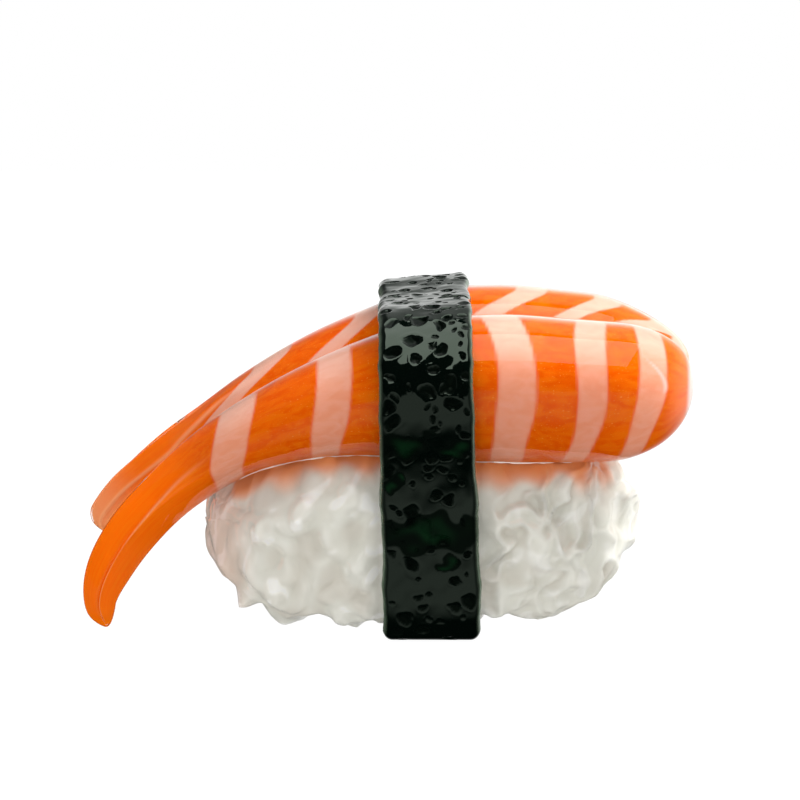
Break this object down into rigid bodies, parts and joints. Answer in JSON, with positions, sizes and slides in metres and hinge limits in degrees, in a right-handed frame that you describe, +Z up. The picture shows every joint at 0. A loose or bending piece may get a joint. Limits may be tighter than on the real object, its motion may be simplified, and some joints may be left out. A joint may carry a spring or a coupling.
{
  "type": "glass shrimp nigiri sculpture",
  "caption": "Solid art-glass shrimp nigiri: a striped prawn with splayed tail fins lies on a lump of rice, and a dark pitted seaweed band wraps both.",
  "frame": {"origin": "middle of the underside of the bounding box, on the table", "axes": "+X along the length towards the head end, away from the tail fins; -Y towards the side the picture shows; +Z up"},
  "size_m": [0.1556, 0.0824, 0.0831],
  "materials": {
    "rice_glass": "glossy, white glass under a clear layer",
    "prawn_glass": "glossy, orange glass with pale pink stripes under a clear layer",
    "band_glass": "glossy dark green glass with small pits"
  },
  "bodies": {
    "root": {"rice": "rice_glass", "shrimp": "prawn_glass", "nori_band": "band_glass"}
  },
  "joints": []
}
